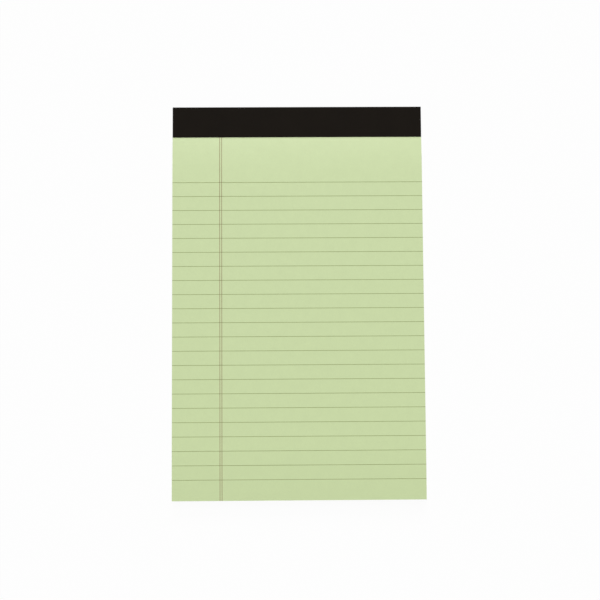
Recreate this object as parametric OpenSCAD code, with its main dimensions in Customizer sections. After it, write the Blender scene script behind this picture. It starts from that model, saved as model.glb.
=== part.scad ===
// Junior legal pad: ruled sheets on a chipboard back, wire-stitched through the head and
// bound there with tape. It lies face up: X across the width, Y towards the bound head, Z up.
// The origin is under the middle of the pad, on the surface that it lies on. Sizes in mm.

/* [Pad] */
// Width of the pad, trimmed flush through sheets, board and tape
pad_w = 127; // [100:0.5:216]
// Length of the pad, from the outside of the tape at the head to the foot
pad_l = 199.5; // [120:0.1:356]

/* [Sheets] */
// Number of sheets in the stack
sheet_count = 50; // [25:1:100]
// Height that one sheet takes up where the stack lies loose
sheet_t = 0.11; // [0.08:0.005:0.14]
// How much the stitches squeeze the stack under the tape
head_nip = 0.9; // [0.1:0.05:1.2]
// Length over which the top sheet rises from the tape to the full stack
nip_l = 30; // [5:0.5:50]
// How much lower the loose stack lies at the foot, where trimming pressed it
foot_press = 0.6; // [0.1:0.05:1.2]
// Length over which the stack falls to the foot
foot_press_l = 30; // [5:0.5:50]

/* [Perforation] */
// Distance from the tape's lower edge to the perforation
perf_gap = 0.6; // [0.3:0.1:3]
// Length of one cut
perf_cut = 1.4; // [0.6:0.1:3]
// Paper left between two cuts
perf_tie = 0.6; // [0.3:0.1:1.5]
// Width of a cut
perf_w = 0.1; // [0.05:0.01:0.2]

/* [Backing board] */
// Thickness of the chipboard
board_t = 0.8; // [0.7:0.05:1.6]

/* [Binding tape] */
// Thickness of the tape
tape_t = 0.15; // [0.1:0.01:0.3]
// Width of the flap on the front
tape_front_w = 15.75; // [11:0.05:25]
// Width of the flap on the back
tape_back_w = 16; // [11:0.5:25]
// Radius that the binding press gives to the two head edges, inside the tape
fold_r = 0.4; // [0.2:0.05:0.6]

/* [Stitches] */
// Diameter of the stitching wire
wire_d = 0.45; // [0.35:0.05:0.6]
// Distance between the two legs of a stitch
crown_w = 12.7; // [10:0.1:16]
// Distance between the middles of the two stitches
stitch_spacing = 64; // [40:1:80]
// Distance from the head to the stitches
stitch_inset = 7.75; // [4:0.25:9.5]
// Length of a clinched leg end, from the leg's middle to its tip
clinch_l = 4.5; // [2:0.1:4.8]
// Radius on the inside of the wire's bends
bend_in_r = 0.08; // [0.04:0.01:0.15]
// Room between the wire and the paper or board around it
wire_clearance = 0.05; // [0.02:0.01:0.1]

/* [Ruling] */
// Distance between two ruled lines
rule_pitch = 7.14; // [5:0.01:9]
// Distance from the head to the first ruled line
first_rule = 39.2; // [35:0.1:60]
// Width of a ruled line
rule_line_w = 0.25; // [0.1:0.01:0.5]
// Distance from the left edge to the middle of the double margin line
margin_x = 24.5; // [15:0.1:40]
// Distance between the two margin lines
margin_pitch = 1; // [0.6:0.01:3]
// Width of one margin line
margin_line_w = 0.3; // [0.1:0.01:0.5]
// Thickness of the printed ink
ink_t = 0.02; // [0.01:0.005:0.04]

/* [Hidden] */
$fn = 48;

// Overshoot of the cuts
over = 1;
// Number of straight steps in each curve of the top sheet
curve_steps = 12;
// Number of flats that stand for the round of the thin wire
wire_sides = 12;

paper_colour = [0.79, 0.85, 0.66];
board_colour = [0.60, 0.56, 0.50];
tape_colour = [0.12, 0.105, 0.09];
wire_colour = [0.72, 0.73, 0.74];
rule_colour = [0.60, 0.64, 0.46];
margin_colour = [0.54, 0.53, 0.37];

// Levels along Y
y_head = pad_l / 2;
y_foot = -pad_l / 2;
y_stack = y_head - tape_t;
y_tape_front = y_head - tape_front_w;
y_tape_back = y_head - tape_back_w;
y_perf = y_tape_front - perf_gap;
y_stitch = y_head - stitch_inset;

// Levels along Z, from the back of the tape up to the writing face
z_board = tape_t;
z_sheets = z_board + board_t;
z_page = z_sheets + sheet_count * sheet_t;
z_stub = z_page - head_nip;
z_tape = z_stub + tape_t;
z_middle = (z_sheets + z_stub) / 2;

// Wire: it lies flush with the front of the stub and with the back of the board
wire_r = wire_d / 2;
bend_r = wire_r + bend_in_r;
z_crown = z_stub - wire_r;
z_clinch = z_board + wire_r;
leg_x = crown_w / 2;

// Perforation: as many whole cuts as the width holds
perf_pitch = perf_cut + perf_tie;
perf_count = floor((pad_w - perf_tie) / perf_pitch);

// Ruling: as many lines as have a whole line space below them
rule_count = floor((pad_l - first_rule) / rule_pitch);
margin_offsets = [-margin_pitch / 2, margin_pitch / 2];

// Writing face from the tape to the foot: it rises ever more gently, runs level, and falls at the foot.
function rise_point(s) = [y_tape_front - s * nip_l, z_page - head_nip * pow(1 - s, 3)];
function fall_point(s) = [y_foot + (1 - s) * foot_press_l, z_page - foot_press * pow(s, 2)];
page_line = [
    for (i = [0 : curve_steps]) rise_point(i / curve_steps),
    for (i = [0 : curve_steps]) fall_point(i / curve_steps)
];

// Turns a section drawn as (Y, Z) into a solid across the width of the pad.
module across_pad() {
    rotate([90, 0, 90])
        linear_extrude(height = pad_w, center = true)
            children();
}

// What a rounded corner of radius r loses from the square corner at the origin,
// which lies to the right of the section and above (side 1) or below (side -1) it.
module corner_loss(r, side) {
    difference() {
        translate([-r, side > 0 ? -r : 0])
            square([r + over, r]);
        translate([-r, -side * r])
            circle(r);
    }
}

// Rectangle from (y0, z0) to (y1, z1) with both corners at the head rounded.
module head_section(y0, y1, z0, z1, r) {
    difference() {
        translate([y0, z0])
            square([y1 - y0, z1 - z0]);
        translate([y1, z1])
            corner_loss(r, 1);
        translate([y1, z0])
            corner_loss(r, -1);
    }
}

// Straight length of stitching wire along Z.
module wire(length) {
    cylinder(d = wire_d, h = length, $fn = wire_sides);
}

// One stitch: crown, two legs and two ends clinched inwards.
module stitch() {
    translate([bend_r - leg_x, 0, z_crown])
        rotate([0, 90, 0])
            wire(crown_w - 2 * bend_r);
    for (side = [0, 1])
        mirror([side, 0, 0]) {
            translate([leg_x, 0, z_clinch + bend_r])
                wire(z_crown - z_clinch - 2 * bend_r);
            translate([leg_x - clinch_l, 0, z_clinch])
                rotate([0, 90, 0])
                    wire(clinch_l - bend_r);
            translate([leg_x - bend_r, 0, z_crown - bend_r])
                wire_bend(0);
            translate([leg_x - bend_r, 0, z_clinch + bend_r])
                wire_bend(1);
        }
}

// Quarter bend between a leg and the crown, or a leg and its clinched end where turned is 1.
module wire_bend(turned) {
    mirror([0, 0, turned])
        rotate([90, 0, 0])
            rotate_extrude(angle = 90)
                translate([bend_r, 0])
                    circle(d = wire_d, $fn = wire_sides);
}

// Puts a child at each stitch.
module at_stitches() {
    for (x = [-stitch_spacing / 2, stitch_spacing / 2])
        translate([x, y_stitch, 0])
            children();
}

// Holes that the legs of a stitch punch from z0 to z1.
module leg_holes(z0, z1) {
    for (x = [-leg_x, leg_x])
        translate([x, 0, z0])
            cylinder(r = wire_r + wire_clearance, h = z1 - z0);
}

// Box from x0 to x1 and z0 to z1 in which wire lies along X.
module wire_slot(x0, x1, z0, z1) {
    translate([x0, -wire_r - wire_clearance, z0])
        cube([x1 - x0, wire_d + 2 * wire_clearance, z1 - z0]);
}

// Printed film that follows the writing face over the whole page.
module ink_film() {
    lifted = [for (p = page_line) p + [0, ink_t]];
    lower = [for (i = [len(page_line) - 1 : -1 : 0]) page_line[i]];
    across_pad()
        polygon(concat(lifted, lower));
}

// Upright bars that the ruled lines are printed in.
module rule_bars() {
    for (i = [0 : rule_count - 1])
        translate([-pad_w / 2, y_head - first_rule - i * rule_pitch - rule_line_w / 2, z_sheets])
            cube([pad_w, rule_line_w, z_page - z_sheets + over]);
}

// Upright bars that the double margin line is printed in.
module margin_bars() {
    for (offset_x = margin_offsets)
        translate([margin_x - pad_w / 2 + offset_x - margin_line_w / 2, y_foot, z_sheets])
            cube([margin_line_w, pad_l, z_page - z_sheets + over]);
}

// Row of perforation cuts through the whole stack.
module perforation() {
    row_w = perf_count * perf_pitch - perf_tie;
    for (i = [0 : perf_count - 1])
        translate([i * perf_pitch - row_w / 2, y_perf - perf_w / 2, z_sheets - over])
            cube([perf_cut, perf_w, z_page - z_sheets + 2 * over]);
}

// Stack of sheets: nipped flat under the tape, punched by the stitches and perforated.
module sheets() {
    slot_floor = z_crown - bend_r;
    slot_end = leg_x + wire_r + wire_clearance;
    back_and_head = [[y_foot, z_sheets], [y_stack, z_sheets], [y_stack, z_stub]];
    color(paper_colour)
        difference() {
            across_pad()
                difference() {
                    polygon(concat(back_and_head, page_line));
                    translate([y_stack, z_stub])
                        corner_loss(fold_r, 1);
                }
            at_stitches() {
                leg_holes(z_sheets - over, slot_floor + wire_clearance);
                wire_slot(-slot_end, slot_end, slot_floor, z_stub + over);
            }
            perforation();
        }
}

// Chipboard: the clinched ends of the stitches are pressed into its back.
module backing_board() {
    slot_roof = z_clinch + bend_r;
    color(board_colour)
        difference() {
            across_pad()
                difference() {
                    translate([y_foot, z_board])
                        square([y_stack - y_foot, board_t]);
                    translate([y_stack, z_board])
                        corner_loss(fold_r, -1);
                }
            at_stitches() {
                leg_holes(z_board - over, z_sheets + over);
                for (side = [0, 1])
                    mirror([side, 0, 0])
                        wire_slot(leg_x - clinch_l - wire_clearance, leg_x + wire_r + wire_clearance,
                                  z_board - over, slot_roof);
            }
        }
}

// Tape folded over the head, with a flap on the front and one on the back.
module binding_tape() {
    y_far = min(y_tape_front, y_tape_back) - over;
    color(tape_colour)
        across_pad()
            difference() {
                head_section(y_far, y_head, 0, z_tape, fold_r + tape_t);
                head_section(y_far - over, y_stack, z_board, z_stub, fold_r);
                translate([y_far - over, z_middle])
                    square([y_tape_front - y_far + over, z_tape]);
                translate([y_far - over, z_middle - z_tape])
                    square([y_tape_back - y_far + over, z_tape]);
            }
}

// Wire stitches that hold sheets and board together under the tape.
module staples() {
    color(wire_colour)
        at_stitches()
            stitch();
}

// Ruled lines, from edge to edge, left out where the margin lines cross them.
module ruled_lines() {
    color(rule_colour)
        difference() {
            intersection() {
                ink_film();
                rule_bars();
            }
            margin_bars();
        }
}

// Double margin line, from the tape to the foot.
module margin_lines() {
    color(margin_colour)
        intersection() {
            ink_film();
            margin_bars();
        }
}

sheets();
backing_board();
binding_tape();
staples();
ruled_lines();
margin_lines();
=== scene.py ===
"""Legal pad: loose ruled sheets on a chipboard back, stitched and taped at the head."""

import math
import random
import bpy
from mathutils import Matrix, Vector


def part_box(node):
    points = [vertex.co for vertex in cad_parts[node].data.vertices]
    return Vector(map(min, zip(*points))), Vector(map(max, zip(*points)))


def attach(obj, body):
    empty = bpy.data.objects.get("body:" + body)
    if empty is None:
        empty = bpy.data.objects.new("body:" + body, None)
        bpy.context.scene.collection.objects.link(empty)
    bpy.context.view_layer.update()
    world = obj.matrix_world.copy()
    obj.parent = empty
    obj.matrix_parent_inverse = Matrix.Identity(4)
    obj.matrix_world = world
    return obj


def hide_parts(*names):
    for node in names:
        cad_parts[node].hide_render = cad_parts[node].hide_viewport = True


bl_info = {
    "name": "Legal Pad",
    "version": (1, 0, 0),
    "blender": (4, 5, 0),
    "location": "View3D > Sidebar > Legal Pad",
    "description": "Dresses a stitched and taped legal pad and lays it on a pale studio floor",
    "category": "Add Mesh",
}

from collections import namedtuple

import bmesh
import bpy
from bpy.props import FloatProperty, FloatVectorProperty, IntProperty, PointerProperty

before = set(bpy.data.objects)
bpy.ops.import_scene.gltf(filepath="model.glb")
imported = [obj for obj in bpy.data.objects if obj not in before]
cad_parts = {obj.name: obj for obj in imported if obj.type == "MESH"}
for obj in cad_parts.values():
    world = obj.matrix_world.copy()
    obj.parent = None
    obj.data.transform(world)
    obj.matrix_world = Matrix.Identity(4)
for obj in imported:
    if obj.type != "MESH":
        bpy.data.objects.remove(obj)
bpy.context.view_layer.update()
SHEETS_LOW, SHEETS_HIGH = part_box("sheets")
TAPE_LOW, TAPE_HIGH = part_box("binding_tape")
RULES_LOW, RULES_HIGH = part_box("ruled_lines")
STITCHES_LOW, STITCHES_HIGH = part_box("staples")
# The board lies on the back flap, and the margin lines start at the front flap's edge.
TAPE_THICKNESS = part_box("backing_board")[0].z
FLAP_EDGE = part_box("margin_lines")[1].y

MM = 0.001
BODY = "root"
PANEL_TAB = "Legal Pad"
# Most of a noise lies between these two.
NOISE_LOW, NOISE_HIGH = 0.3, 0.7
# Painted shade for the stack's cut edges: what the darkest layers keep of the paper's colour, in bands that
# stand in for the shade in the gaps between sheets.
GAP_PAINTED_SHADE = (0.86, 0.87, 0.84)

Hole = namedtuple("Hole", "x_low x_high y_low y_high")


def length(name, description, default):
    """A size in metres that shows in the sidebar with its unit."""
    return FloatProperty(
        name=name, description=description, default=default, min=0.0, unit="LENGTH", precision=5
    )


def share(name, description, default):
    """A factor from 0 to 1."""
    return FloatProperty(
        name=name, description=description, default=default, min=0.0, max=1.0, subtype="FACTOR"
    )


def colour(name, description, default):
    """A colour in linear light."""
    return FloatVectorProperty(
        name=name, description=description, default=default, size=3, min=0.0, max=1.0, subtype="COLOR"
    )


def turn(name, description, degrees):
    """An angle, given in degrees."""
    return FloatProperty(name=name, description=description, default=math.radians(degrees), subtype="ANGLE")


class PadSizes(bpy.types.PropertyGroup):
    """Sizes of the pad's sheets, perforation, print, tape and stitches."""

    sheet_count: IntProperty(name="Sheets", description="Number of sheets in the stack", default=50, min=2)
    sheet_fill: share("Sheet fill", "Share of a layer's height that is paper and not air", 0.93)
    sheet_stray: length("Stray", "How far a sheet's trimmed edges stray from the stack's side", 0.04 * MM)
    foot_stray: length("Foot stray", "How far a sheet's foot strays from the stack's foot", 0.07 * MM)
    nip_length: length("Nip length", "Length over which the sheets rise from the tape", 30 * MM)
    foot_press: length("Foot press", "How much lower the loose stack lies at the foot", 0.6 * MM)
    press_length: length("Press length", "Length over which the stack falls to the foot", 30 * MM)
    perf_gap: length("Perforation gap", "Distance from the tape's edge to the perforation", 0.6 * MM)
    perf_cut: length("Cut", "Length of one cut of the perforation", 1.4 * MM)
    perf_tie: length("Tie", "Paper left between two cuts", 0.6 * MM)
    perf_width: length("Cut width", "Width of one cut of the perforation", 0.1 * MM)
    rule_pitch: length("Line spacing", "Distance between two ruled lines", 7.14 * MM)
    rule_width: length("Line width", "Width of one ruled line", 0.25 * MM)
    fold_radius: length("Fold radius", "Radius of the tape's folds, on their inside", 0.4 * MM)
    crown_width: length("Crown width", "Distance between the two legs of a stitch", 12.7 * MM)
    crown_depth: length("Crown depth", "Depth of a stitch's crown with its bends in the stack", 0.53 * MM)
    wire_room: length("Wire room", "Room between the wire and the paper around it", 0.05 * MM)
    seed: IntProperty(name="Seed", description="Start of the random draws", default=7)


class PadColours(bpy.types.PropertyGroup):
    """Colours of paper, inks, tape, board, wire and floor, in linear light."""

    paper: colour("Paper", "Pale green of the sheets", (0.548, 0.652, 0.348))
    rule_ink: colour("Rule ink", "Olive of the ruled lines", (0.297, 0.350, 0.155))
    margin_ink: colour("Margin ink", "Brown of the double margin line", (0.324, 0.257, 0.145))
    tape: colour("Tape", "Warm black of the binding tape", (0.0063, 0.0045, 0.0029))
    board: colour("Board", "Grey brown of the chipboard", (0.330, 0.285, 0.225))
    board_dark: colour("Dark flecks", "Dark flecks in the chipboard", (0.130, 0.115, 0.100))
    board_light: colour("Light flecks", "Light fibres in the chipboard", (0.520, 0.475, 0.405))
    wire: colour("Wire", "Bare galvanised wire", (0.560, 0.570, 0.580))
    floor: colour("Floor", "White of the floor", (0.900, 0.900, 0.900))


class PadStage(bpy.types.PropertyGroup):
    """Camera, lights and floor."""

    camera_place: FloatVectorProperty(
        name="Camera place",
        description="Place of the camera",
        default=(-8.37 * MM, -55.79 * MM, SHEETS_HIGH.z + 637.12 * MM),
        subtype="TRANSLATION",
        unit="LENGTH",
    )
    camera_turn: FloatVectorProperty(
        name="Camera turn",
        description="Turn of the camera from looking straight down",
        default=(math.radians(5.044), math.radians(-0.803), math.radians(-0.381)),
        subtype="EULER",
    )
    camera_lens: FloatProperty(name="Lens", description="Focal length in millimetres", default=76.07)
    top_light: share("Top light", "Share of the light that comes from the softbox overhead", 0.37)
    top_angle: turn("Top angle", "Angle of the softbox overhead, from straight above towards the head", 26)
    head_light: share("Head light", "Share of the light that comes from the softbox beyond the head", 0.36)
    head_angle: turn("Head angle", "Angle of the softbox beyond the head, from straight above", 58)
    foot_light: share("Foot light", "Share of the light that comes from the softbox before the foot", 0.12)
    foot_angle: turn("Foot angle", "Angle of the softbox before the foot, from straight above", -45)
    far_distance: length("Far distance", "Distance of the softboxes overhead and beyond the head", 8.0)
    near_distance: length("Near distance", "Distance of the softbox before the foot", 1.5)
    sky_light: share("Sky light", "Share of the light that comes evenly from all round", 0.135)
    floor_size: length("Floor size", "Side of the floor", 6.0)


def sizes():
    """The sizes set in the sidebar."""
    return bpy.context.scene.pad_sizes


def colours():
    """The colours set in the sidebar."""
    return bpy.context.scene.pad_colours


class Finish:
    """A material with its nodes, all in the pad's own coordinates."""

    def __init__(self, name):
        self.material = bpy.data.materials.new(name)
        self.material.use_nodes = True
        self.nodes = self.material.node_tree.nodes
        self.links = self.material.node_tree.links
        self.shader = self.nodes["Principled BSDF"]
        self.place = self.nodes.new("ShaderNodeTexCoord").outputs["Object"]

    def feed(self, socket, value):
        """Links a node's output to a socket, or sets the socket to a plain value."""
        if isinstance(value, bpy.types.NodeSocket):
            self.links.new(value, socket)
        else:
            socket.default_value = value

    def set(self, **values):
        """Sets the shader's sockets, whose names are written with underscores."""
        for name, value in values.items():
            self.feed(self.shader.inputs[name.replace("_", " ")], value)

    def stretched(self, x, y, z):
        """The pad's coordinates, stretched along its axes."""
        mapping = self.nodes.new("ShaderNodeMapping")
        self.feed(mapping.inputs["Vector"], self.place)
        mapping.inputs["Scale"].default_value = (x, y, z)
        return mapping.outputs["Vector"]

    def noise(self, grain, detail=2.0, place=None):
        """Soft noise from 0 to 1 with spots about as large as grain, in metres."""
        node = self.nodes.new("ShaderNodeTexNoise")
        self.feed(node.inputs["Vector"], place or self.place)
        node.inputs["Scale"].default_value = 1.0 / grain
        node.inputs["Detail"].default_value = detail
        return node.outputs["Fac"]

    def spots(self, grain, place=None):
        """Distance from the middle of scattered spots, in grains."""
        node = self.nodes.new("ShaderNodeTexVoronoi")
        self.feed(node.inputs["Vector"], place or self.place)
        node.inputs["Scale"].default_value = 1.0 / grain
        return node.outputs["Distance"]

    def span(self, value, low, high, to_low=0.0, to_high=1.0):
        """Maps low..high of a value to another range and clamps it there."""
        node = self.nodes.new("ShaderNodeMapRange")
        self.feed(node.inputs["Value"], value)
        limits = {"From Min": low, "From Max": high, "To Min": to_low, "To Max": to_high}
        for name, number in limits.items():
            node.inputs[name].default_value = number
        return node.outputs["Result"]

    def soft(self, noise, to_low=0.0, to_high=1.0):
        """Spreads the range where most of a noise lies over another range."""
        return self.span(noise, NOISE_LOW, NOISE_HIGH, to_low, to_high)

    def calc(self, operation, first, second=0.0):
        """One step of arithmetic."""
        node = self.nodes.new("ShaderNodeMath")
        node.operation = operation
        self.feed(node.inputs[0], first)
        self.feed(node.inputs[1], second)
        return node.outputs["Value"]

    def both(self, first, second, part):
        """The mean of two values, in which the second has the given part."""
        rest = self.calc("MULTIPLY", first, 1.0 - part)
        return self.calc("ADD", rest, self.calc("MULTIPLY", second, part))

    def axis(self, name):
        """One of the pad's coordinates."""
        node = self.nodes.new("ShaderNodeSeparateXYZ")
        self.feed(node.inputs["Vector"], self.place)
        return node.outputs[name]

    def blend(self, factor, first, second, way="MIX"):
        """Mixes two colours."""
        node = self.nodes.new("ShaderNodeMix")
        node.data_type = "RGBA"
        node.blend_type = way
        self.feed(node.inputs["Factor"], factor)
        for name, value in (("A", first), ("B", second)):
            socket = next(s for s in node.inputs if s.name == name and s.type == "RGBA")
            self.feed(socket, value if isinstance(value, bpy.types.NodeSocket) else (*value, 1.0))
        return next(s for s in node.outputs if s.type == "RGBA")

    def relief(self, height, depth, strength=1.0, under=None):
        """Bump of the given depth in metres, over another bump if there is one."""
        node = self.nodes.new("ShaderNodeBump")
        node.inputs["Strength"].default_value = strength
        node.inputs["Distance"].default_value = depth
        self.feed(node.inputs["Height"], height)
        if under is not None:
            self.feed(node.inputs["Normal"], under)
        return node.outputs["Normal"]

    def near_rule(self):
        """1 on the ruled lines' places along Y and 0 between them."""
        size = sizes()
        last_rule = RULES_LOW.y + size.rule_width / 2
        along = self.axis("Y")
        steps = self.calc("DIVIDE", self.calc("SUBTRACT", along, last_rule), size.rule_pitch)
        off = self.calc("ABSOLUTE", self.calc("SUBTRACT", steps, self.calc("ROUND", steps)))
        on_rule = self.calc("LESS_THAN", off, size.rule_width / 2 / size.rule_pitch)
        return self.calc("MULTIPLY", on_rule, self.calc("LESS_THAN", along, RULES_HIGH.y))


def darker(shade, factor):
    """A colour times a factor."""
    return tuple(channel * factor for channel in shade)


def paper_finish():
    """Writing paper: cloudy formation, fine fibres along the sheet, a soft calendered sheen."""
    finish = Finish("writing_paper")
    paper = tuple(colours().paper)
    clouds = finish.noise(4.0 * MM, detail=3.0)
    fibres = finish.noise(0.35 * MM, detail=3.0, place=finish.stretched(1.0, 0.35, 1.0))
    tone = finish.both(clouds, fibres, 0.6)
    body = finish.blend(finish.soft(tone), darker(paper, 0.975), darker(paper, 1.025))
    tooth = finish.noise(0.12 * MM, detail=2.0)
    finish.set(
        Base_Color=body,
        Roughness=finish.soft(tone, 0.56, 0.50),
        Specular_IOR_Level=0.6,
        Normal=finish.relief(tooth, 0.006 * MM, 0.5),
    )
    return finish


def cut_edge_finish():
    """The sheets below the top one: the same paper, with painted shade in random bands across the stack's
    layers on its cut edges.
    """
    finish = paper_finish()
    finish.material.name = "writing_paper_edges"
    # Bands along the stack's height, darkened as painted shade of the gaps between the sheets.
    layers = finish.noise(0.3 * MM, detail=3.0, place=finish.stretched(0.005, 0.005, 1.0))
    body = finish.shader.inputs["Base Color"].links[0].from_socket
    painted_gap_shade = finish.blend(1.0, body, GAP_PAINTED_SHADE, "MULTIPLY")
    finish.set(Base_Color=finish.blend(finish.soft(layers), painted_gap_shade, body))
    return finish


def ink_finish(name, ink):
    """Thin ruling ink that has sunk into the paper, a little uneven along the line."""
    finish = Finish(name)
    flow = finish.noise(1.5 * MM, detail=3.0)
    speckle = finish.noise(0.15 * MM, detail=2.0)
    tone = finish.both(flow, speckle, 0.5)
    body = finish.blend(finish.soft(tone), darker(ink, 0.9), darker(ink, 1.1))
    finish.set(
        Base_Color=body,
        Roughness=finish.soft(speckle, 0.9, 0.78),
        Specular_IOR_Level=0.2,
        Normal=finish.relief(speckle, 0.004 * MM, 0.5),
    )
    return finish


def margin_finish():
    """Margin ink, darker where a ruled line is printed across it."""
    ink = tuple(colours().margin_ink)
    paper = tuple(colours().paper)
    rule = tuple(colours().rule_ink)
    finish = ink_finish("margin_ink", ink)
    over_print = tuple(rule_part / paper_part for rule_part, paper_part in zip(rule, paper))
    body = finish.shader.inputs["Base Color"].links[0].from_socket
    finish.set(Base_Color=finish.blend(finish.near_rule(), body, over_print, "MULTIPLY"))
    return finish


def tape_finish():
    """Black binding paper with a fine pebbled grain."""
    finish = Finish("binding_tape")
    tape = tuple(colours().tape)
    pebble = finish.noise(0.45 * MM, detail=3.0)
    fine = finish.noise(0.12 * MM, detail=2.0)
    clouds = finish.noise(9.0 * MM, detail=2.0)
    tone = finish.both(pebble, clouds, 0.5)
    body = finish.blend(finish.soft(tone), darker(tape, 0.85), darker(tape, 1.15))
    coarse_relief = finish.relief(pebble, 0.03 * MM, 0.5)
    finish.set(
        Base_Color=body,
        Roughness=finish.soft(pebble, 0.6, 0.75),
        Specular_IOR_Level=0.05,
        Normal=finish.relief(fine, 0.01 * MM, 0.4, under=coarse_relief),
    )
    return finish


def board_finish():
    """Recycled chipboard: mixed fibres, dark and light flecks, layers on its cut edges."""
    finish = Finish("chipboard")
    shade = colours()
    board, dark, light = tuple(shade.board), tuple(shade.board_dark), tuple(shade.board_light)
    clouds = finish.noise(14.0 * MM, detail=3.0)
    fibres = finish.noise(0.5 * MM, detail=4.0, place=finish.stretched(1.0, 0.4, 4.0))
    tone = finish.both(clouds, fibres, 0.6)
    body = finish.blend(finish.soft(tone), darker(board, 0.86), darker(board, 1.12))
    wavy = finish.noise(0.8 * MM, detail=2.0)
    dark_spots = finish.calc("ADD", finish.spots(2.6 * MM), finish.calc("MULTIPLY", wavy, 0.25))
    long_spots = finish.spots(1.9 * MM, finish.stretched(1.0, 0.5, 1.0))
    light_spots = finish.calc("ADD", long_spots, finish.calc("MULTIPLY", wavy, 0.3))
    body = finish.blend(finish.span(dark_spots, 0.22, 0.30, 0.7, 0.0), body, dark)
    body = finish.blend(finish.span(light_spots, 0.26, 0.36, 0.5, 0.0), body, light)
    finish.set(
        Base_Color=body,
        Roughness=finish.soft(fibres, 0.95, 0.82),
        Specular_IOR_Level=0.2,
        Normal=finish.relief(fibres, 0.03 * MM, 0.5),
    )
    return finish


def wire_finish():
    """Bare galvanised stitching wire with faint drawing marks."""
    finish = Finish("stitching_wire")
    wire = tuple(colours().wire)
    marks = finish.noise(0.08 * MM, detail=2.0, place=finish.stretched(0.1, 1.0, 1.0))
    body = finish.blend(finish.soft(marks), darker(wire, 0.85), darker(wire, 1.05))
    finish.set(
        Base_Color=body,
        Metallic=1.0,
        Roughness=finish.soft(marks, 0.28, 0.45),
        Normal=finish.relief(marks, 0.004 * MM, 0.4),
    )
    return finish


def add_grid(bm, xs, ys):
    """Adds a flat grid with its lines at xs and ys, and returns its vertices and faces."""
    columns, rows = len(xs) - 1, len(ys) - 1
    made = bmesh.ops.create_grid(bm, x_segments=columns, y_segments=rows, size=1.0)["verts"]
    for vert in made:
        column = round((vert.co.x + 1) / 2 * columns)
        row = round((vert.co.y + 1) / 2 * rows)
        vert.co = (xs[column], ys[row], 0.0)
    faces = list({face for vert in made for face in vert.link_faces})
    return made, faces


def thicken(bm, verts, faces, bottom, top):
    """Closes a flat grid into a solid between two heights that depend on a vertex."""
    made = bmesh.ops.extrude_face_region(bm, geom=faces)["geom"]
    for vert in made:
        if isinstance(vert, bmesh.types.BMVert):
            vert.co.z = top(vert)
    for vert in verts:
        vert.co.z = bottom(vert)


def add_piece(name, bm, finish, node):
    """Turns a mesh into a named piece that stands for a CAD node."""
    bmesh.ops.recalc_face_normals(bm, faces=bm.faces)
    mesh = bpy.data.meshes.new(name)
    bm.to_mesh(mesh)
    bm.free()
    mesh.materials.append(finish.material)
    piece = bpy.data.objects.new(name, mesh)
    bpy.context.scene.collection.objects.link(piece)
    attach(piece, BODY)
    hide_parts(node)
    return piece


def dress(node, finish):
    """Gives a carried CAD node its finish."""
    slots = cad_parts[node].data.materials
    slots.clear()
    slots.append(finish.material)


def spread(low, high, count):
    """Evenly spaced values from low to high, both included."""
    return [low + (high - low) * i / count for i in range(count + 1)]


def in_hole(place, holes):
    """Whether a place of a sheet lies in one of its holes."""
    return any(
        hole.x_low < place.x < hole.x_high and hole.y_low < place.y < hole.y_high for hole in holes
    )


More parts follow.
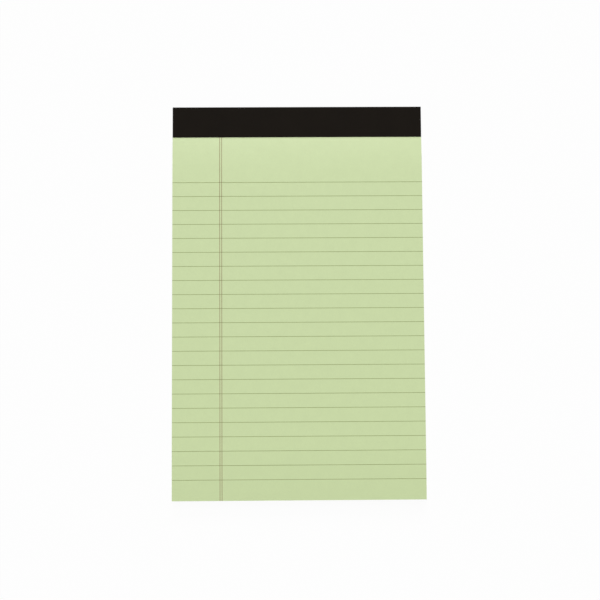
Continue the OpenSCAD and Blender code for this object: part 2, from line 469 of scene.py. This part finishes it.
class Stack:
    """The stack of sheets: level where it lies loose, nipped under the tape, pressed at the foot."""

    CURVE_STEPS = 24
    LEVEL_STEPS = 4

    def __init__(self):
        size = sizes()
        self.size = size
        self.foot = SHEETS_LOW.y
        self.head = SHEETS_HIGH.y
        self.left = SHEETS_LOW.x
        self.right = SHEETS_HIGH.x
        self.tape_edge = FLAP_EDGE
        self.stub = TAPE_HIGH.z - TAPE_THICKNESS
        self.nip = SHEETS_HIGH.z - self.stub
        self.level_high = self.tape_edge - size.nip_length
        self.level_low = self.foot + size.press_length

    def layer(self, y):
        """Height of one layer at a place along the pad."""
        to_head = min(max((y - self.level_high) / self.size.nip_length, 0.0), 1.0)
        to_foot = min(max((self.level_low - y) / self.size.press_length, 0.0), 1.0)
        drop = self.nip * to_head**3 + self.size.foot_press * to_foot**2
        return (SHEETS_HIGH.z - drop - SHEETS_LOW.z) / self.size.sheet_count

    def top(self, number, y):
        """Height of a sheet's upper face."""
        return SHEETS_LOW.z + (number + 1) * self.layer(y)

    def bottom(self, number, y):
        """Height of a sheet's lower face."""
        return self.top(number, y) - self.size.sheet_fill * self.layer(y)

    def head_end(self, number):
        """Where a sheet ends at the head: the top ones follow the rounded fold."""
        radius = self.size.fold_radius
        over = self.top(number, self.head) - (self.stub - radius)
        if over <= 0:
            return self.head
        return self.head - radius + math.sqrt(max(radius**2 - over**2, 0.0))

    def stations(self, foot, head):
        """Places along the pad where a sheet gets a row of vertices."""
        fall = spread(foot, self.level_low, self.CURVE_STEPS)
        level = spread(self.level_low, self.level_high, self.LEVEL_STEPS)
        rise = spread(self.level_high, self.tape_edge, self.CURVE_STEPS)
        return fall + level[1:] + rise[1:] + [head]

    def stitch_holes(self, number):
        """What the stitches take from a sheet: their legs, and in the top sheets the crowns too."""
        room = self.size.wire_room
        leg = STITCHES_HIGH.y - STITCHES_LOW.y + 2 * room
        row = (STITCHES_LOW.y - room, STITCHES_HIGH.y + room)
        outer = STITCHES_HIGH.x + room
        inner = outer - self.size.crown_width - leg
        crown_floor = STITCHES_HIGH.z - self.size.crown_depth
        holes = []
        for low, high in ((-outer, -inner), (inner, outer)):
            if self.top(number, STITCHES_LOW.y) > crown_floor:
                holes.append(Hole(low, high, *row))
            else:
                holes += [Hole(low, low + leg, *row), Hole(high - leg, high, *row)]
        return holes

    def perforation(self):
        """The cuts of the perforation, as many as the width holds."""
        size = self.size
        pitch = size.perf_cut + size.perf_tie
        count = int((self.right - self.left - size.perf_tie) / pitch)
        start = -(count * pitch - size.perf_tie) / 2
        middle = self.tape_edge - size.perf_gap
        row = (middle - size.perf_width / 2, middle + size.perf_width / 2)
        return [Hole(start + i * pitch, start + i * pitch + size.perf_cut, *row) for i in range(count)]

    def add_sheet(self, bm, number, foot, shift, holes):
        """Adds one sheet with its holes cut through."""
        sides = [self.left + shift, self.right + shift]
        xs = sorted(sides + [x for hole in holes for x in (hole.x_low, hole.x_high)])
        rows = {y for hole in holes for y in (hole.y_low, hole.y_high)}
        ys = sorted([*self.stations(foot, self.head_end(number)), *rows])
        verts, faces = add_grid(bm, xs, ys)
        cut = [face for face in faces if in_hole(face.calc_center_median(), holes)]
        bmesh.ops.delete(bm, geom=cut, context="FACES")
        thicken(
            bm,
            verts,
            [face for face in faces if face.is_valid],
            lambda vert: self.bottom(number, vert.co.y),
            lambda vert: self.top(number, vert.co.y),
        )


class PAD_OT_lower_sheets(bpy.types.Operator):
    """Lays the sheets below the top one, each punched by the stitches and a little out of line"""

    bl_idname = "pad.lower_sheets"
    bl_label = "Lower Sheets"

    def execute(self, context):
        size = sizes()
        stack = Stack()
        draw = random.Random(size.seed)
        bm = bmesh.new()
        for number in range(size.sheet_count - 1):
            shift = draw.uniform(-size.sheet_stray, size.sheet_stray)
            foot = stack.foot + draw.uniform(0.0, size.foot_stray)
            stack.add_sheet(bm, number, foot, shift, stack.stitch_holes(number))
        add_piece("lower_sheets", bm, cut_edge_finish(), "sheets")
        return {"FINISHED"}


class PAD_OT_top_sheet(bpy.types.Operator):
    """Lays the top sheet, punched by the stitches, with its perforation cut through"""

    bl_idname = "pad.top_sheet"
    bl_label = "Top Sheet"

    def execute(self, context):
        stack = Stack()
        number = sizes().sheet_count - 1
        bm = bmesh.new()
        stack.add_sheet(bm, number, stack.foot, 0.0, stack.stitch_holes(number) + stack.perforation())
        add_piece("top_sheet", bm, paper_finish(), "sheets")
        return {"FINISHED"}


class PAD_OT_printed_lines(bpy.types.Operator):
    """Gives the ruled lines and the double margin line their inks"""

    bl_idname = "pad.printed_lines"
    bl_label = "Printed Lines"

    def execute(self, context):
        dress("ruled_lines", ink_finish("rule_ink", tuple(colours().rule_ink)))
        dress("margin_lines", margin_finish())
        return {"FINISHED"}


class PAD_OT_binding_tape(bpy.types.Operator):
    """Folds the binding tape over the head"""

    bl_idname = "pad.binding_tape"
    bl_label = "Binding Tape"

    FLAP_STEPS = 12
    FOLD_STEPS = 10
    SPINE_STEPS = 4
    WIDTH_STEPS = 40
    SHARP_ANGLE = math.radians(40)

    def execute(self, context):
        path = self.path(sizes().fold_radius + TAPE_THICKNESS)
        bm = bmesh.new()
        xs = spread(TAPE_LOW.x, TAPE_HIGH.x, self.WIDTH_STEPS)
        verts, faces = add_grid(bm, xs, list(range(len(path))))
        for vert in verts:
            y, z = path[round(vert.co.y)]
            vert.co = (vert.co.x, y, z)
        bmesh.ops.recalc_face_normals(bm, faces=faces)
        bmesh.ops.solidify(bm, geom=faces, thickness=TAPE_THICKNESS)
        piece = add_piece("binding_tape_wrap", bm, tape_finish(), "binding_tape")
        piece.data.shade_smooth()
        piece.data.set_sharp_from_angle(angle=self.SHARP_ANGLE)
        return {"FINISHED"}

    def path(self, radius):
        """The tape's outside from the front flap's edge over the head to the back flap's edge."""
        head, top, low = TAPE_HIGH.y, TAPE_HIGH.z, TAPE_LOW.z
        fold_y = head - radius
        quarter = spread(0.0, math.pi / 2, self.FOLD_STEPS)
        front = [(y, top) for y in spread(FLAP_EDGE, fold_y, self.FLAP_STEPS)]
        front_fold = [(fold_y + radius * math.sin(a), top - radius + radius * math.cos(a)) for a in quarter]
        spine = [(head, z) for z in spread(top - radius, low + radius, self.SPINE_STEPS)]
        back_fold = [(fold_y + radius * math.cos(a), low + radius - radius * math.sin(a)) for a in quarter]
        back = [(y, low) for y in spread(fold_y, TAPE_LOW.y, self.FLAP_STEPS)]
        return front + front_fold[1:] + spine[1:] + back_fold[1:] + back[1:]


class PAD_OT_backing_board(bpy.types.Operator):
    """Gives the backing board its chipboard"""

    bl_idname = "pad.backing_board"
    bl_label = "Backing Board"

    def execute(self, context):
        dress("backing_board", board_finish())
        return {"FINISHED"}


class PAD_OT_staples(bpy.types.Operator):
    """Gives the stitches their wire"""

    bl_idname = "pad.staples"
    bl_label = "Staples"

    def execute(self, context):
        dress("staples", wire_finish())
        return {"FINISHED"}


class PAD_OT_stage(bpy.types.Operator):
    """Sets the floor, the light and the camera that looks down on the pad"""

    bl_idname = "pad.stage"
    bl_label = "Stage"

    SOFTBOX_SPREAD = 0.3
    FLOOR_DROP = 0.05 * MM
    FLOOR_GLOW = 0.958
    FLOOR_SHADE = 0.030
    SKY_WHITE = 0.975

    def execute(self, context):
        stage = context.scene.pad_stage
        self.add_floor(stage)
        self.add_softbox("top_softbox", stage.top_light, stage.top_angle, stage.far_distance)
        self.add_softbox("head_softbox", stage.head_light, stage.head_angle, stage.far_distance)
        self.add_softbox("foot_softbox", stage.foot_light, stage.foot_angle, stage.near_distance)
        self.add_sky(stage)
        self.add_camera(stage)
        context.scene.view_settings.view_transform = "Standard"
        return {"FINISHED"}

    def seen_directly(self, tree):
        """1 for rays from the camera, and for those that gloss or glass sends on."""
        path = tree.nodes.new("ShaderNodeLightPath")
        total = path.outputs["Is Camera Ray"]
        for name in ("Is Glossy Ray", "Is Transmission Ray"):
            step = tree.nodes.new("ShaderNodeMath")
            step.operation = "MAXIMUM"
            tree.links.new(total, step.inputs[0])
            tree.links.new(path.outputs[name], step.inputs[1])
            total = step.outputs["Value"]
        return total

    def add_floor(self, stage):
        bm = bmesh.new()
        bmesh.ops.create_grid(bm, x_segments=1, y_segments=1, size=stage.floor_size / 2)
        bmesh.ops.translate(bm, verts=bm.verts, vec=(0.0, 0.0, -self.FLOOR_DROP))
        mesh = bpy.data.meshes.new("studio_floor")
        bm.to_mesh(mesh)
        bm.free()
        floor = bpy.data.objects.new("studio_floor", mesh)
        bpy.context.scene.collection.objects.link(floor)
        mesh.materials.append(self.floor_material())

    def floor_material(self):
        """A white floor that the camera sees as plain white with a light shadow."""
        material = bpy.data.materials.new("white_floor")
        material.use_nodes = True
        tree = material.node_tree
        tree.nodes.clear()
        shade = tuple(colours().floor)
        matte = tree.nodes.new("ShaderNodeBsdfDiffuse")
        matte.inputs["Color"].default_value = (*shade, 1.0)
        thin = tree.nodes.new("ShaderNodeBsdfDiffuse")
        thin.inputs["Color"].default_value = (*[self.FLOOR_SHADE] * 3, 1.0)
        glow = tree.nodes.new("ShaderNodeEmission")
        glow.inputs["Strength"].default_value = self.FLOOR_GLOW
        seen = tree.nodes.new("ShaderNodeAddShader")
        tree.links.new(thin.outputs["BSDF"], seen.inputs[0])
        tree.links.new(glow.outputs["Emission"], seen.inputs[1])
        choice = tree.nodes.new("ShaderNodeMixShader")
        tree.links.new(self.seen_directly(tree), choice.inputs["Fac"])
        tree.links.new(matte.outputs["BSDF"], choice.inputs[1])
        tree.links.new(seen.outputs["Shader"], choice.inputs[2])
        output = tree.nodes.new("ShaderNodeOutputMaterial")
        tree.links.new(choice.outputs["Shader"], output.inputs["Surface"])
        return material

    def add_softbox(self, name, part, angle, distance):
        """A square softbox that gives the page its part of full light."""
        light = bpy.data.lights.new(name, "AREA")
        light.energy = part * (math.pi * distance) ** 2 / math.cos(angle)
        light.shape = "SQUARE"
        light.size = distance * self.SOFTBOX_SPREAD
        lamp = bpy.data.objects.new(name, light)
        lamp.location = (0.0, distance * math.sin(angle), distance * math.cos(angle))
        lamp.rotation_euler = (-angle, 0.0, 0.0)
        lamp.visible_camera = False
        bpy.context.scene.collection.objects.link(lamp)

    def add_sky(self, stage):
        world = bpy.data.worlds.new("studio")
        world.use_nodes = True
        tree = world.node_tree
        tree.nodes.clear()
        light = tree.nodes.new("ShaderNodeBackground")
        light.inputs["Strength"].default_value = stage.sky_light
        white = tree.nodes.new("ShaderNodeBackground")
        white.inputs["Strength"].default_value = self.SKY_WHITE
        choice = tree.nodes.new("ShaderNodeMixShader")
        for background in (light, white):
            background.inputs["Color"].default_value = (1.0, 1.0, 1.0, 1.0)
        tree.links.new(self.seen_directly(tree), choice.inputs["Fac"])
        tree.links.new(light.outputs["Background"], choice.inputs[1])
        tree.links.new(white.outputs["Background"], choice.inputs[2])
        output = tree.nodes.new("ShaderNodeOutputWorld")
        tree.links.new(choice.outputs["Shader"], output.inputs["Surface"])
        bpy.context.scene.world = world

    def add_camera(self, stage):
        data = bpy.data.cameras.new("reading_view")
        data.lens = stage.camera_lens
        data.clip_start = 0.01
        camera = bpy.data.objects.new("reading_view", data)
        camera.location = stage.camera_place
        camera.rotation_euler = stage.camera_turn
        bpy.context.scene.collection.objects.link(camera)
        bpy.context.scene.camera = camera


STEPS = (
    PAD_OT_lower_sheets,
    PAD_OT_top_sheet,
    PAD_OT_printed_lines,
    PAD_OT_binding_tape,
    PAD_OT_backing_board,
    PAD_OT_staples,
    PAD_OT_stage,
)


class PAD_PT_sidebar(bpy.types.Panel):
    """Shows the pad's sizes, colours and stage, and lists the steps that dress it."""

    bl_idname = "PAD_PT_sidebar"
    bl_label = "Legal Pad"
    bl_space_type = "VIEW_3D"
    bl_region_type = "UI"
    bl_category = PANEL_TAB

    def draw(self, context):
        column = self.layout.column()
        view = context.scene
        for group in (view.pad_sizes, view.pad_colours, view.pad_stage):
            for name in type(group).__annotations__:
                column.prop(group, name)
        for step in STEPS:
            column.operator(step.bl_idname)


CLASSES = (PadSizes, PadColours, PadStage, *STEPS, PAD_PT_sidebar)


def register():
    for cls in CLASSES:
        bpy.utils.register_class(cls)
    bpy.types.Scene.pad_sizes = PointerProperty(type=PadSizes)
    bpy.types.Scene.pad_colours = PointerProperty(type=PadColours)
    bpy.types.Scene.pad_stage = PointerProperty(type=PadStage)


def unregister():
    del bpy.types.Scene.pad_stage
    del bpy.types.Scene.pad_colours
    del bpy.types.Scene.pad_sizes
    for cls in reversed(CLASSES):
        bpy.utils.unregister_class(cls)


def main():
    """Builds the dressed pad on its stage."""
    register()
    bpy.ops.pad.lower_sheets()
    bpy.ops.pad.top_sheet()
    bpy.ops.pad.printed_lines()
    bpy.ops.pad.binding_tape()
    bpy.ops.pad.backing_board()
    bpy.ops.pad.staples()
    bpy.ops.pad.stage()


if __name__ == "__main__":
    main()
